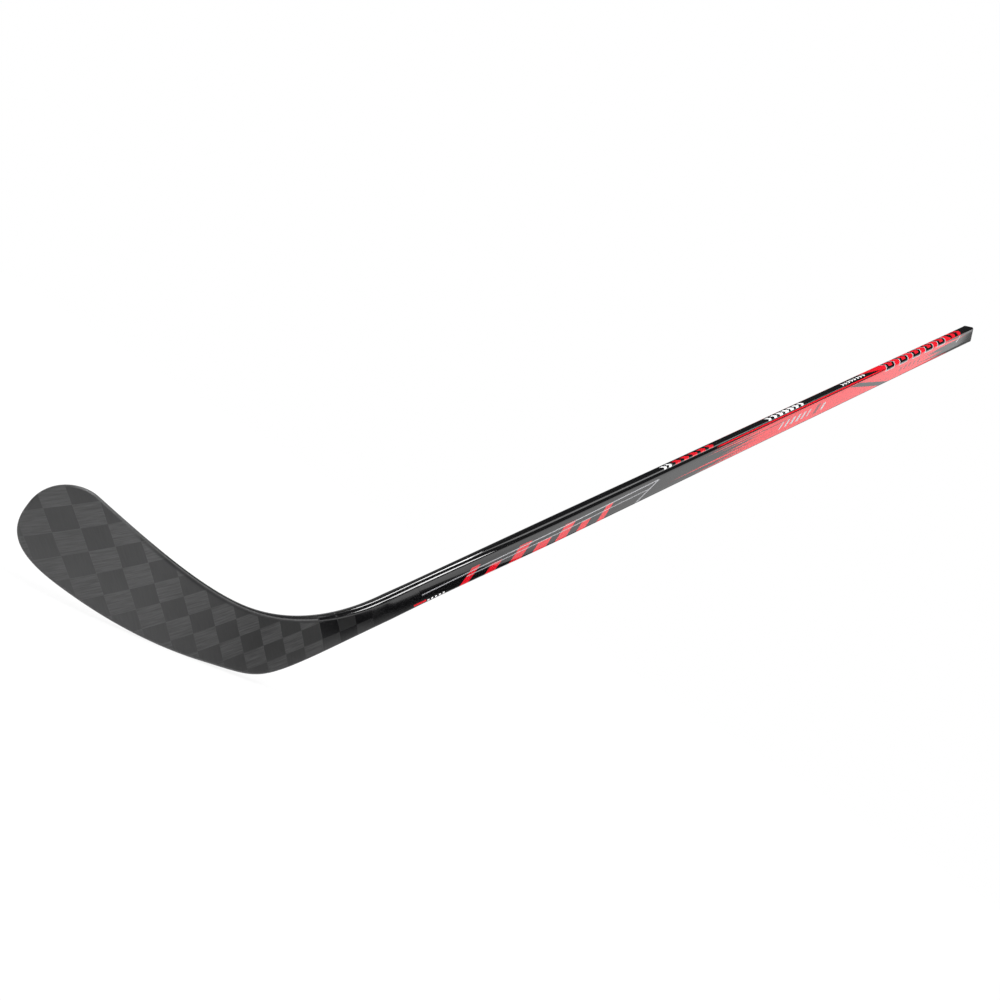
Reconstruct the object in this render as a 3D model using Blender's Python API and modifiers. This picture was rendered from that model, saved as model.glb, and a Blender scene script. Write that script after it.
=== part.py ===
"""Ice hockey stick: one-piece composite, left-hand curve, standing in its playing pose.

The sole touches Z = 0, the toe points along -X and the shaft rises along +X.
The convex backhand face looks along -Y and the concave forehand face along +Y.
"""
import bpy
import bmesh
import numpy as np
from math import cos, sin, pi, radians

# Shaft, measured along its back edge from the heel corner
SHAFT_LENGTH = 1.524
SHAFT_WIDTH = 0.030
SHAFT_DEPTH = 0.020
SHAFT_CORNER = 0.0035
SHAFT_WALL = 0.0020
LIE = radians(47.0)

# Taper at the low end of the shaft, down to the fused joint with the hosel
TAPER_HEIGHT = 0.430
FUSE_HEIGHT = 0.190
FUSE_DEPTH = 0.0160
TAPER_BACK = 0.0019
TAPER_FRONT = 0.0006

# Hosel: straight neck, then the fillets that run into the blade
NECK_HEIGHT = 0.150
NECK_DEPTH = 0.0172
HOSEL_WALL = 0.0018
HEEL_REACH_SHAFT = 0.171
HEEL_REACH_SOLE = 0.0835
FILLET_REACH_SHAFT = 0.0685
FILLET_REACH_BLADE = 0.0565

# Blade outline in its flat plane: u runs to the toe and v up from the heel corner
BLADE_LENGTH = 0.2883
SOLE_LOW_AT = 0.1165
SOLE_DROP = 0.0119
ROCKER_RADIUS = 0.585
SOLE_START = 0.080
SOLE_END_BACK = 0.0533
SOLE_END = BLADE_LENGTH - SOLE_END_BACK
TOP_START = 0.080
TOP_START_HEIGHT = 0.0568
TOP_END_BACK = 0.0383
TOP_END = BLADE_LENGTH - TOP_END_BACK
TOP_END_HEIGHT = 0.0868
TOP_END_SLOPE = 0.257
TOP_REACH_HEEL = 0.052
TOP_REACH_TOE = 0.055
TOE_HEIGHT = 0.050
TOE_FLAT = 0.004
TOE_TOP_REACH = 0.0183
TOE_TOP_ROUND = 0.0266
TOE_SOLE_REACH = 0.0328
TOE_SOLE_ROUND = 0.0311

# Blade form out of its plane
CURVE_DEPTH = 0.0558
CURVE_POWER = 3.2
LOFT_HEEL = radians(2.6)
LOFT_TOE = radians(4.9)
LOFT_AXIS_HEIGHT = 0.035
ROOT_THICKNESS = 0.0090
TOE_THICKNESS = 0.0060

# Blade build: face laminates over foam, a bridge between the cores, an edge strip all round
SKIN = 0.0013
EDGE_STRIP = 0.0045
BRIDGE_WIDTH = 0.0040
BRIDGE_END_BACK = 0.0733
BRIDGE_END = BLADE_LENGTH - BRIDGE_END_BACK
EDGE_ROUND = 0.42

# Inner pieces of the shaft
TENON_IN_SHAFT = 0.110
FOAM_PLUG_LENGTH = 0.045
BUTT_FLANGE = 0.0040
BUTT_SPIGOT = 0.045
BUTT_EDGE_ROUND = 0.0012
BUTT_BARBS = 3
BUTT_BARB_DEPTH = 0.0008

GAP = 0.0003
LEAST_CORNER = 0.0006

CORNER_STEPS = 4
FACE_COLUMNS = 6
FILLET_RIBS = 14
BLADE_RIBS = 14
TOE_RIBS = 12


# ---- blade form ----

def flat_point(along, across):
    """Point of the flat plane at a distance up the shaft and across from its back edge."""
    return np.array([-along * cos(LIE) + across * sin(LIE),
                     along * sin(LIE) + across * cos(LIE)])


def bow(u):
    """Sweep of the blade out of its flat plane, and its slope."""
    x = np.maximum(u, 0.0) / BLADE_LENGTH
    sweep = CURVE_DEPTH * x ** CURVE_POWER
    slope = CURVE_DEPTH * CURVE_POWER * x ** (CURVE_POWER - 1.0) / BLADE_LENGTH
    return sweep, slope


def place(u, v, loft, offset):
    """World point of a flat-plane point, leaned by the loft, at an offset off the mid surface."""
    sweep, slope = bow(u)
    s, c = np.sin(-loft), np.cos(loft)
    length = np.sqrt(1.0 + (slope * c) ** 2)
    height = v - LOFT_AXIS_HEIGHT
    x = -u + offset * slope * c / length
    y = sweep + s * height + offset * c / length
    z = LOFT_AXIS_HEIGHT + c * height - offset * s / length
    return np.stack(np.broadcast_arrays(x, y, z), axis=-1)


def bezier(points, t):
    """Points and unit tangents of a cubic curve."""
    a, b, c, d = (np.asarray(p, float) for p in points)
    t = t[:, None]
    s = 1.0 - t
    place_at = s ** 3 * a + 3 * s * s * t * b + 3 * s * t * t * c + t ** 3 * d
    tangent = s * s * (b - a) + 2 * s * t * (c - b) + t * t * (d - c)
    return place_at, tangent / np.linalg.norm(tangent, axis=1, keepdims=True)


def unit(slope):
    """Direction towards the toe that climbs with the given slope."""
    return np.array([1.0, slope]) / np.hypot(1.0, slope)


def sole_height(u):
    return -SOLE_DROP + (u - SOLE_LOW_AT) ** 2 / (2.0 * ROCKER_RADIUS)


def sole_slope(u):
    return (u - SOLE_LOW_AT) / ROCKER_RADIUS


def smooth(x):
    x = np.clip(x, 0.0, 1.0)
    return x * x * (3.0 - 2.0 * x)


class Rib:
    """A line across the stick from its back or sole edge (foot) to its front or top edge (head)."""

    def __init__(self, foot, head, foot_in, head_in, loft, depth, corner):
        self.foot = foot
        self.head = head
        self.foot_in = foot_in
        self.head_in = head_in
        self.loft = loft
        self.depth = depth
        self.corner = corner

    def inset(self, amount):
        """The same rib, drawn in from both edges along their normals."""
        return Rib(self.foot + self.foot_in * amount, self.head + self.head_in * amount,
                   self.foot_in, self.head_in, self.loft, self.depth, self.corner)

    def shifted(self, amount):
        """The same rib, moved towards the toe along both edges."""
        foot_step = np.array([self.foot_in[1], -self.foot_in[0]])
        head_step = np.array([-self.head_in[1], self.head_in[0]])
        return Rib(self.foot + foot_step * amount, self.head + head_step * amount,
                   self.foot_in, self.head_in, self.loft, self.depth, self.corner)

    def length(self):
        return np.linalg.norm(self.head - self.foot)

    def points(self, pairs):
        """World points for pairs of (distance from the foot, offset off the mid surface)."""
        pairs = np.asarray(pairs, float)
        way = (self.head - self.foot) / self.length()
        flat = self.foot + way * pairs[:, :1]
        return place(flat[:, 0], flat[:, 1], self.loft, pairs[:, 1])


def shaft_rib(along):
    """Rib straight across the shaft at a distance from the heel corner."""
    share = smooth((TAPER_HEIGHT - along) / (TAPER_HEIGHT - FUSE_HEIGHT))
    depth = SHAFT_DEPTH + (FUSE_DEPTH - SHAFT_DEPTH) * share
    if along < FUSE_HEIGHT:
        depth += (NECK_DEPTH - FUSE_DEPTH) * (FUSE_HEIGHT - along) / (FUSE_HEIGHT - NECK_HEIGHT)
    foot = flat_point(along, TAPER_BACK * share)
    head = flat_point(along, SHAFT_WIDTH + TAPER_FRONT * share)
    across = (head - foot) / np.linalg.norm(head - foot)
    return Rib(foot, head, across, -across, 0.0, depth, SHAFT_CORNER)


def blade_edges():
    """Foot and head curves with their tangents, from the end of the neck to the toe."""
    down = np.array([cos(LIE), -sin(LIE)])
    neck = shaft_rib(NECK_HEIGHT)
    top_start = np.array([TOP_START, TOP_START_HEIGHT])
    top_end = np.array([TOP_END, TOP_END_HEIGHT])
    sole_start = np.array([SOLE_START, sole_height(SOLE_START)])
    sole_end = np.array([SOLE_END, sole_height(SOLE_END)])
    tip_head = np.array([BLADE_LENGTH, TOE_HEIGHT + TOE_FLAT / 2])
    tip_foot = np.array([BLADE_LENGTH, TOE_HEIGHT - TOE_FLAT / 2])
    up = np.array([0.0, 1.0])
    heads = [
        ((neck.head, neck.head + FILLET_REACH_SHAFT * down,
          top_start - FILLET_REACH_BLADE * unit(0.0), top_start), FILLET_RIBS),
        ((top_start, top_start + TOP_REACH_HEEL * unit(0.0),
          top_end - TOP_REACH_TOE * unit(TOP_END_SLOPE), top_end), BLADE_RIBS),
        ((top_end, top_end + TOE_TOP_REACH * unit(TOP_END_SLOPE),
          tip_head + TOE_TOP_ROUND * up, tip_head), TOE_RIBS)]
    third = (SOLE_END - SOLE_START) / 3.0
    mid_low = sole_start + third * np.array([1.0, sole_slope(SOLE_START)])
    mid_high = sole_end - third * np.array([1.0, sole_slope(SOLE_END)])
    feet = [
        ((neck.foot, neck.foot + HEEL_REACH_SHAFT * down,
          sole_start - HEEL_REACH_SOLE * unit(sole_slope(SOLE_START)), sole_start), FILLET_RIBS),
        ((sole_start, mid_low, mid_high, sole_end), BLADE_RIBS),
        ((sole_end, sole_end + TOE_SOLE_REACH * unit(sole_slope(SOLE_END)),
          tip_foot - TOE_SOLE_ROUND * up, tip_foot), TOE_RIBS)]
    return run_of(feet), run_of(heads)


def run_of(spans):
    """Joined points and tangents of several curves, end to end."""
    points, tangents = [], []
    for index, (controls, steps) in enumerate(spans):
        where, way = bezier(controls, np.linspace(0.0, 1.0, steps + 1))
        start = 0 if index == 0 else 1
        points.append(where[start:])
        tangents.append(way[start:])
    return np.concatenate(points), np.concatenate(tangents)


def blade_ribs():
    """Ribs from the end of the neck, round the fillets and along the blade to the toe."""
    (feet, foot_way), (heads, head_way) = blade_edges()
    ribs = []
    root_u = (feet[FILLET_RIBS][0] + heads[FILLET_RIBS][0]) / 2
    for k in range(len(feet)):
        u = (feet[k][0] + heads[k][0]) / 2
        turn = smooth(k / FILLET_RIBS)
        share = np.clip(u / BLADE_LENGTH, 0.0, 1.0)
        loft = turn * (LOFT_HEEL + (LOFT_TOE - LOFT_HEEL) * sin(share * pi / 2))
        if k <= FILLET_RIBS:
            mix = (k / FILLET_RIBS) ** 0.8
            depth = NECK_DEPTH + (ROOT_THICKNESS - NECK_DEPTH) * mix
        else:
            mix = np.clip((u - root_u) / (BLADE_LENGTH - root_u), 0.0, 1.0)
            depth = ROOT_THICKNESS + (TOE_THICKNESS - ROOT_THICKNESS) * mix
        foot_in = np.array([-foot_way[k][1], foot_way[k][0]])
        head_in = np.array([head_way[k][1], -head_way[k][0]])
        corner = min(SHAFT_CORNER, EDGE_ROUND * depth)
        ribs.append(Rib(feet[k], heads[k], foot_in, head_in, loft, depth, corner))
    return ribs


# ---- meshes ----

def rounded_pairs(length, depth, corner):
    """Rounded rectangle as (along the rib, off the mid surface), with columns on both faces."""
    corner = min(corner, depth * 0.49, length * 0.49)
    pairs = []
    low, high = corner, length - corner
    for k in range(1, FACE_COLUMNS):
        pairs.append((low + (high - low) * k / FACE_COLUMNS, -depth / 2))
    pairs += arc(high, -(depth / 2 - corner), corner, -90)
    pairs += arc(high, depth / 2 - corner, corner, 0)
    for k in range(1, FACE_COLUMNS):
        pairs.append((high + (low - high) * k / FACE_COLUMNS, depth / 2))
    pairs += arc(low, depth / 2 - corner, corner, 90)
    pairs += arc(low, -(depth / 2 - corner), corner, 180)
    return pairs


def arc(x, y, radius, start):
    """Quarter circle of points about a centre, from a start angle in degrees."""
    turn = [radians(start + 90.0 * k / CORNER_STEPS) for k in range(CORNER_STEPS + 1)]
    return [(x + radius * cos(a), y + radius * sin(a)) for a in turn]


def body_loop(rib, inset=0.0):
    """Rounded section of the stick at a rib, drawn in all round by an inset."""
    inner = rib.inset(inset)
    corner = max(rib.corner - inset, LEAST_CORNER)
    return inner.points(rounded_pairs(inner.length(), rib.depth - 2 * inset, corner))


def slab_loop(rib, start, end, near, far):
    """Flat-sided section between two distances along a rib and two offsets."""
    run = np.linspace(start, end, FACE_COLUMNS + 1)
    pairs = [(a, near) for a in run] + [(a, far) for a in run[::-1]]
    return rib.points(pairs)


def loft(name, loops, material, closed=True):
    """Mesh object through equal loops of points, with its two ends closed."""
    mesh = bpy.data.meshes.new(name)
    body = bmesh.new()
    rows = [[body.verts.new(p) for p in loop] for loop in loops]
    count = len(rows[0])
    for low, high in zip(rows[:-1], rows[1:]):
        for k in range(count):
            nxt = (k + 1) % count
            body.faces.new((low[k], low[nxt], high[nxt], high[k]))
    if closed:
        body.faces.new(rows[0][::-1])
        body.faces.new(rows[-1])
    bmesh.ops.recalc_face_normals(body, faces=body.faces)
    body.to_mesh(mesh)
    body.free()
    mesh.materials.append(material)
    mesh.shade_smooth()
    mesh.set_sharp_from_angle(angle=radians(35.0))
    item = bpy.data.objects.new(name, mesh)
    parts_collection().objects.link(item)
    return item


def parts_collection():
    name = "Ice hockey stick"
    if name not in bpy.data.collections:
        bpy.context.scene.collection.children.link(bpy.data.collections.new(name))
    return bpy.data.collections[name]


def paint(name, colour, roughness, metallic=0.0):
    material = bpy.data.materials.new(name)
    material.use_nodes = True
    shader = material.node_tree.nodes["Principled BSDF"]
    shader.inputs["Base Color"].default_value = (*colour, 1.0)
    shader.inputs["Roughness"].default_value = roughness
    shader.inputs["Metallic"].default_value = metallic
    material.diffuse_color = (*colour, 1.0)
    return material


def add_wall(item, thickness):
    """Wall of a shell, grown inwards from its outer surface."""
    wall = item.modifiers.new("Wall", "SOLIDIFY")
    wall.thickness = thickness
    wall.offset = -1.0
    wall.use_even_offset = True
    wall.use_rim = True


# ---- shaft pieces ----

def shaft_stations(start, end):
    """Distances along the shaft that follow its taper and run straight above it."""
    taper = [d for d in np.linspace(FUSE_HEIGHT, TAPER_HEIGHT, 9) if start < d < end]
    return [start] + taper + [end]


def make_shaft_tube():
    end = SHAFT_LENGTH - BUTT_FLANGE - GAP
    loops = [body_loop(shaft_rib(d)) for d in shaft_stations(FUSE_HEIGHT + GAP, end)]
    tube = loft("shaft_tube", loops, paint("shaft_gloss", (0.60, 0.012, 0.028), 0.2), closed=False)
    add_wall(tube, SHAFT_WALL)
    return tube


def make_tenon():
    """Spigot bonded into the shaft above the joint and into the hosel below it."""
    depth = SHAFT_WALL + GAP
    stations = shaft_stations(NECK_HEIGHT + GAP, FUSE_HEIGHT + TENON_IN_SHAFT)
    loops = [body_loop(shaft_rib(d), depth) for d in stations]
    return loft("tenon_spigot", loops, paint("tenon_carbon", (0.03, 0.03, 0.032), 0.5))


def make_foam_plug():
    """Foam stop inside the shaft, above the tenon."""
    start = FUSE_HEIGHT + TENON_IN_SHAFT + GAP
    stations = shaft_stations(start, start + FOAM_PLUG_LENGTH)
    loops = [body_loop(shaft_rib(d), SHAFT_WALL + GAP) for d in stations]
    return loft("shaft_foam_plug", loops, paint("plug_foam", (0.75, 0.73, 0.66), 0.9))


def make_butt_plug():
    """End plug: a barbed spigot inside the tube and a flush flange with a rounded rim."""
    flange = SHAFT_LENGTH - BUTT_FLANGE
    fit = SHAFT_WALL + GAP
    pitch = BUTT_SPIGOT / (BUTT_BARBS + 1)
    steps = [(flange - BUTT_SPIGOT, fit + 2 * BUTT_BARB_DEPTH)]
    for k in range(1, BUTT_BARBS + 1):
        top = flange - BUTT_SPIGOT + k * pitch
        steps += [(top, fit), (top + GAP, fit + BUTT_BARB_DEPTH)]
    steps += [(flange, fit + BUTT_BARB_DEPTH), (flange, 0.0)]
    for k in range(CORNER_STEPS + 1):
        turn = pi / 2 * k / CORNER_STEPS
        along = SHAFT_LENGTH - BUTT_EDGE_ROUND * (1 - sin(turn))
        steps.append((along, BUTT_EDGE_ROUND * (1 - cos(turn))))
    loops = [body_loop(shaft_rib(d), inset) for d, inset in steps]
    return loft("butt_end_plug", loops, paint("butt_rubber", (0.012, 0.012, 0.013), 0.6))


# ---- hosel and blade pieces ----

def make_hosel(ribs):
    """Laminated shell from the joint, round the heel, to the root of the blade."""
    loops = [body_loop(shaft_rib(d)) for d in np.linspace(FUSE_HEIGHT, NECK_HEIGHT, 4)[:-1]]
    loops += [body_loop(rib) for rib in ribs[:FILLET_RIBS + 1]]
    shell = loft("hosel_shell", loops, paint("hosel_carbon", (0.03, 0.03, 0.032), 0.25), closed=False)
    add_wall(shell, HOSEL_WALL)
    return shell


def make_hosel_core(ribs):
    loops = [body_loop(rib, HOSEL_WALL + GAP) for rib in ribs[:FILLET_RIBS + 1]]
    loops[0] = body_loop(ribs[0].shifted(GAP), HOSEL_WALL + GAP)
    return loft("hosel_core", loops, paint("core_foam", (0.80, 0.78, 0.70), 0.9))


def blade_plan(ribs):
    """Ribs of the blade proper, drawn in to clear the edge strip."""
    plan = [ribs[FILLET_RIBS].shifted(GAP)] + ribs[FILLET_RIBS + 1:]
    return [rib.inset(EDGE_STRIP + GAP) for rib in plan]


def make_skin(name, ribs, side, material):
    """Face laminate on the backhand (-1) or forehand (+1) side."""
    loops = []
    for rib in blade_plan(ribs):
        outer = side * rib.depth / 2
        inner = side * (rib.depth / 2 - SKIN)
        loops.append(slab_loop(rib, 0.0, rib.length(), outer, inner))
    return loft(name, loops, material)


def core_loops(ribs, low, high):
    """Loops of an inner piece between two functions of the rib's length."""
    loops = []
    for rib in ribs:
        half = rib.depth / 2 - SKIN - GAP
        loops.append(slab_loop(rib, low(rib.length()), high(rib.length()), -half, half))
    return loops


def split_plan(ribs):
    """Blade ribs before and after the end of the bridge."""
    plan = blade_plan(ribs)
    heel_side = [rib for rib in plan if (rib.foot[0] + rib.head[0]) / 2 <= BRIDGE_END]
    toe_side = plan[len(heel_side):]
    return heel_side, [heel_side[-1].shifted(GAP)] + toe_side


def make_cores(ribs):
    """Two foam cores with the bridge between them, and one foam core in the toe."""
    heel_side, toe_side = split_plan(ribs)
    foam = paint("blade_foam", (0.82, 0.80, 0.72), 0.9)
    bridge = paint("bridge_carbon", (0.04, 0.04, 0.042), 0.5)
    side = BRIDGE_WIDTH / 2
    lower = core_loops(heel_side, lambda n: 0.0, lambda n: n / 2 - side - GAP)
    upper = core_loops(heel_side, lambda n: n / 2 + side + GAP, lambda n: n)
    middle = core_loops(heel_side, lambda n: n / 2 - side, lambda n: n / 2 + side)
    toe = core_loops(toe_side, lambda n: 0.0, lambda n: n)
    loft("blade_core_lower", lower, foam)
    loft("blade_core_upper", upper, foam)
    loft("blade_bridge", middle, bridge)
    loft("blade_core_toe", toe, foam)


def strip_loop(edge, inward, rib):
    """Half-round section of the edge strip at a point of the outline."""
    half = rib.depth / 2
    corner = min(rib.corner, half * 0.98, EDGE_STRIP * 0.95)
    pairs = [(EDGE_STRIP, half), (corner, half)]
    pairs += [(x, y) for x, y in arc(corner, half - corner, corner, 90)[1:]]
    pairs += [(x, y) for x, y in arc(corner, corner - half, corner, 180)]
    pairs += [(EDGE_STRIP, -half)]
    pairs = np.array(pairs)
    flat = edge + inward * pairs[:, :1]
    return place(flat[:, 0], flat[:, 1], rib.loft, pairs[:, 1])


def make_edge_strip(ribs):
    """Strip along the top edge, round the toe and back along the sole."""
    plan = [ribs[FILLET_RIBS].shifted(GAP)] + ribs[FILLET_RIBS + 1:]
    loops = [strip_loop(rib.head, rib.head_in, rib) for rib in plan]
    loops += [strip_loop(rib.foot, rib.foot_in, rib) for rib in plan[::-1]]
    return loft("blade_edge_strip", loops, paint("edge_carbon", (0.02, 0.02, 0.022), 0.4))


# ---- assembly ----

def stand_on_sole(items):
    """Parent every piece to one empty, moved so that the sole rests on Z = 0 below the centre."""
    points = np.concatenate([[v.co[:] for v in item.data.vertices] for item in items])
    low, high = points.min(axis=0), points.max(axis=0)
    centre = (low + high) / 2
    root = bpy.data.objects.new("stick_frame", None)
    parts_collection().objects.link(root)
    root.location = (-centre[0], -centre[1], -low[2])
    for item in items:
        item.parent = root


def main():
    for item in list(bpy.data.objects):
        bpy.data.objects.remove(item, do_unlink=True)
    ribs = blade_ribs()
    weave = paint("blade_weave", (0.075, 0.075, 0.078), 0.55)
    make_shaft_tube()
    make_tenon()
    make_foam_plug()
    make_butt_plug()
    make_hosel(ribs)
    make_hosel_core(ribs)
    make_skin("blade_skin_backhand", ribs, -1.0, weave)
    make_skin("blade_skin_forehand", ribs, 1.0, weave)
    make_cores(ribs)
    make_edge_strip(ribs)
    stand_on_sole([item for item in bpy.data.objects if item.type == "MESH"])


main()
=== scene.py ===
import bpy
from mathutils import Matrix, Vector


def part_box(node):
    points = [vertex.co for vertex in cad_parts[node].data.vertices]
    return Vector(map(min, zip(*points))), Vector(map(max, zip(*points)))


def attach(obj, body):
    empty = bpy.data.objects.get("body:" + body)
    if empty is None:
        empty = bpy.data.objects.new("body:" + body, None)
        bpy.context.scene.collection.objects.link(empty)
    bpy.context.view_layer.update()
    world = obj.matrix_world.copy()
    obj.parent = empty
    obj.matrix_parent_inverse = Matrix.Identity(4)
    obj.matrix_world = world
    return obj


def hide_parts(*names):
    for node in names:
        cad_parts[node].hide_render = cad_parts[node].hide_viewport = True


bl_info = {
    "name": "Ice hockey stick",
    "version": (1, 0, 0),
    "blender": (4, 5, 0),
    "location": "View3D > Sidebar > Stick",
    "description": "Composite hockey stick with a checked carbon blade and a painted shaft",
    "category": "Add Mesh",
}

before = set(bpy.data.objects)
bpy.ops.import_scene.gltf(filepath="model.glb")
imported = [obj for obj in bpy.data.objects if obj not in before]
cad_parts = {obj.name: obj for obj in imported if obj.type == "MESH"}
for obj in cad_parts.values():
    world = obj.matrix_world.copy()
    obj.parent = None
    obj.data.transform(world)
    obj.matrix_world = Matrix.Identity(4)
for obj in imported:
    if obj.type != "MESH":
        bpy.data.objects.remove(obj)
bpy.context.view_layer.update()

from collections import namedtuple
from math import atan2, cos, sin, pi, radians

import bmesh
import bpy
import numpy as np
from bpy.props import FloatProperty, FloatVectorProperty, PointerProperty
from mathutils import Vector

# Fixed proportions of the outline, in metres in the flat plane of the blade
NECK_HEIGHT = 0.150
HEEL_REACH_SHAFT = 0.171
HEEL_REACH_SOLE = 0.0835
FILLET_REACH_SHAFT = 0.0685
FILLET_REACH_BLADE = 0.0565
SOLE_LOW_AT = 0.1165
SOLE_START = 0.080
SOLE_END_BACK = 0.0533
TOP_START = 0.080
TOP_END_BACK = 0.0383
TOP_REACH_HEEL = 0.052
TOP_REACH_TOE = 0.055
TOE_FLAT = 0.004
TOE_TOP_REACH = 0.0183
TOE_TOP_ROUND = 0.0266
TOE_SOLE_REACH = 0.0328
TOE_SOLE_ROUND = 0.0311
LOFT_AXIS_HEIGHT = 0.035
EDGE_ROUND = 0.42
CORNER_MOST = 0.98
HEEL_THINNING = 0.8
BUTT_EDGE_ROUND = 0.0012
GAP = 0.0003

# Swell of the flat sides: where its columns lie on a side, how it fades at the butt end, and the
# share of the heel that keeps it whole
CROWN_PLACES = (-2 / 3, -1 / 3, 0.0, 1 / 3, 2 / 3)
CROWN_FADE = 0.060
CROWN_HOLD = 0.3

# Mesh: ribs of the neck, then of heel, blade and toe; columns of a rib; rings of the shaft
NECK_RIBS = 9
BLADE_RIBS = (44, 44, 34)
RIB_CORNER_STEPS = 6
RIB_COLUMNS = 12
TAPER_RINGS = 25
STRAIGHT_RINGS = 12
FADE_RINGS = 7
BUTT_STEPS = 5
BAR_CORNER_STEPS = 8
SMOOTH_ANGLE = radians(35.0)
LEAST_FLAT = 0.005
MERGE = 0.000002
SAME_PLACE = 1e-5
NO_STEP = 1e-8

# Check of the carbon in the flat plane of the blade: one corner, and the steps along its two
# directions
CHECK_START = (0.2927, 0.0396)
CHECK_FIRST = (-0.01502, 0.01504)
CHECK_SECOND = (-0.01556, -0.01460)

# Nominal section of the shaft, walked from the middle of its back side: half the back, a corner,
# the backhand side, a corner, the front, a corner, the forehand side, a corner
NOMINAL_CORNER = 0.0035
CORNER_RUN = NOMINAL_CORNER * pi / 2
NARROW_HALF = 0.0065
BROAD_RUN = 0.0230
FRONT_MIDDLE = NARROW_HALF + 2 * CORNER_RUN + BROAD_RUN + NARROW_HALF
ROUND_RUN = 2 * FRONT_MIDDLE

# Paint. Places along the stick are up from the heel (below the neck they go on as negative
# numbers), and places across are round the section from the middle of the front side.
PRINT_EDGE = 0.0004
LEAN = 1.1
FRONT_SIDE_END = 0.0100
PAINT_END = 0.0357
HEEL_DASH = (0.1810, 0.1985), (0.0325, 0.0352)
RED_LEAD = (5.2, 1.6)
SOLE_STRIP_START = 0.0358
STRIP_WIDTH = 0.0104
STRIP_RIM = 0.0086
STRIP_GROOVE = (0.0102, 0.0123)
RIM_START = -0.165
RED_FIELD = (0.905, 1.447)
RED_FRONT = (1.160, 1.435)
EDGE_LINE = (0.0074, 0.0096)
# painted dark reflection along the shaft's corner, under the red edge line
CORNER_DARK_REFLECTION = (0.0101, 0.0114)
EDGE_LINE_RUN = (0.735, 1.19)
GREY_BAND = (1.031, 1.062)
GREY_BAND_START = 0.0125
SHORT_BAR_START = 0.0255
TICK_ROW = (0.0185, 0.0285)
LAST_TICK = (1.0290, 1.0355), TICK_ROW
END_TICK = (1.4820, 1.4860), (0.0125, 0.0235)
DARK_TICK = (1.0090, 1.0190), (0.0165, 0.0300)
CHIPPED_EDGES = (0.0082, 0.0102), (0.0368, 0.0388)
CHIP = (0.10, 0.10, 0.105)

# A row of slanted marks: where it starts, its pitch, how many marks, the share of the pitch that
# a mark fills at the row's ends and at its middle, and the marks' reach across. A row that spans
# the front side reaches from minus to plus.
Row = namedtuple("Row", "start pitch count least most low high soft", defaults=(PRINT_EDGE,))
RED_BARS = Row(0.287, 0.0383, 7, 0.34, 0.60, 0.0180, 0.0374)
RED_CHEVRONS = Row(0.647, 0.0185, 5, 0.58, 0.58, -0.0050, 0.0050)
RED_END_BARS = Row(1.450, 0.0220, 2, 0.50, 0.50, -FRONT_SIDE_END, FRONT_SIDE_END)
RED_SLOTS = Row(1.2212, 0.0455, 5, 0.26, 0.26, -0.0074, 0.0074)
BLACK_BARS = Row(1.2144, 0.0455, 5, 0.555, 0.555, -0.0130, 0.0130)
BLACK_TICKS = Row(1.275, 0.0160, 5, 0.36, 0.36, 0.0200, 0.0265)
SILVER_EDGES = Row(1.212, 0.0455, 5, 0.66, 0.66, -0.0144, 0.0144)
SILVER_TICKS = Row(0.914, 0.0150, 6, 0.30, 0.50, *TICK_ROW)
WHITE_ROWS = (Row(0.622, 0.0110, 2, 0.50, 0.50, -0.0050, 0.0050),
              Row(0.868, 0.0145, 7, 0.45, 0.66, -0.0050, 0.0050),
              Row(1.076, 0.0092, 8, 0.48, 0.48, -0.0030, 0.0030))
WHITE_HEEL_ROW = Row(0.2000, 0.0056, 5, 0.50, 0.50, 0.0335, 0.0356, 0.0003)

# A pinstripe: how it climbs across as it runs up the shaft, its place across at the heel, half its
# width, and its run
Pinstripe = namedtuple("Pinstripe", "slope place half start end")
HIGH_PIN = Pinstripe(0.0185, 0.0272, 0.0007, 0.193, 0.6005)
LOW_PIN = Pinstripe(0.0090, 0.0292, 0.0006, 0.258, 0.584)

# Lights: boxes stand at a place and are turned to a target; strips lie flat above the stick, from
# a start to an end
SIDE_BOX = (2.003, -2.476, 1.76), (-0.267, -0.772, 1.76), 3.41, 3.08
TOP_BOX = (-0.55, -0.5, 2.7), (0.1, -0.2, 0.5), 3.0, 1.6
SHAFT_STRIP = (-0.42, 1.38), (0.64, 0.42), 0.14
HOSEL_STRIP = (-0.90, 1.72), (-0.39, 1.38), 0.30
HEEL_STRIP = (-1.16, 0.34), (-0.62, -1.25), 0.32
STRIP_HEIGHT = 2.0
FLOOR_SIZE = 60.0
FLOOR_GLOW = 1.03
GLOW_FADE = (1.9, 2.2, 0.85)
EVEN_FILL = 0.42
# What the gloss sees, by its rise from straight down (-1) to straight up (1): strengths of floor,
# ceiling and the dark between them
GLOSS_CEILING = (-0.62, 0.46, 0.50)
GLOSS_HORIZON = (-0.205, 0.025, 0.08)
GLOSS_FLOOR_END = (-0.185, 0.17)
CEILING_GLOW = 0.72
CEILING_LEAST = 0.03
GLOSS_FLOOR_GLOW = 1.05
SENSOR_WIDTH = 36.0


def number(name, description, default, **kind):
    return FloatProperty(name=name, description=description, default=default, **kind)


def length(name, description, default):
    return number(name, description, default, unit="LENGTH", precision=4)


def angle(name, description, degrees):
    return number(name, description, radians(degrees), unit="ROTATION")


def power(name, description, default):
    return number(name, description, default, unit="POWER")


def colour(name, description, default):
    return FloatVectorProperty(name=name, description=description, default=default,
                               subtype="COLOR", size=3, min=0.0, max=1.0)


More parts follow.
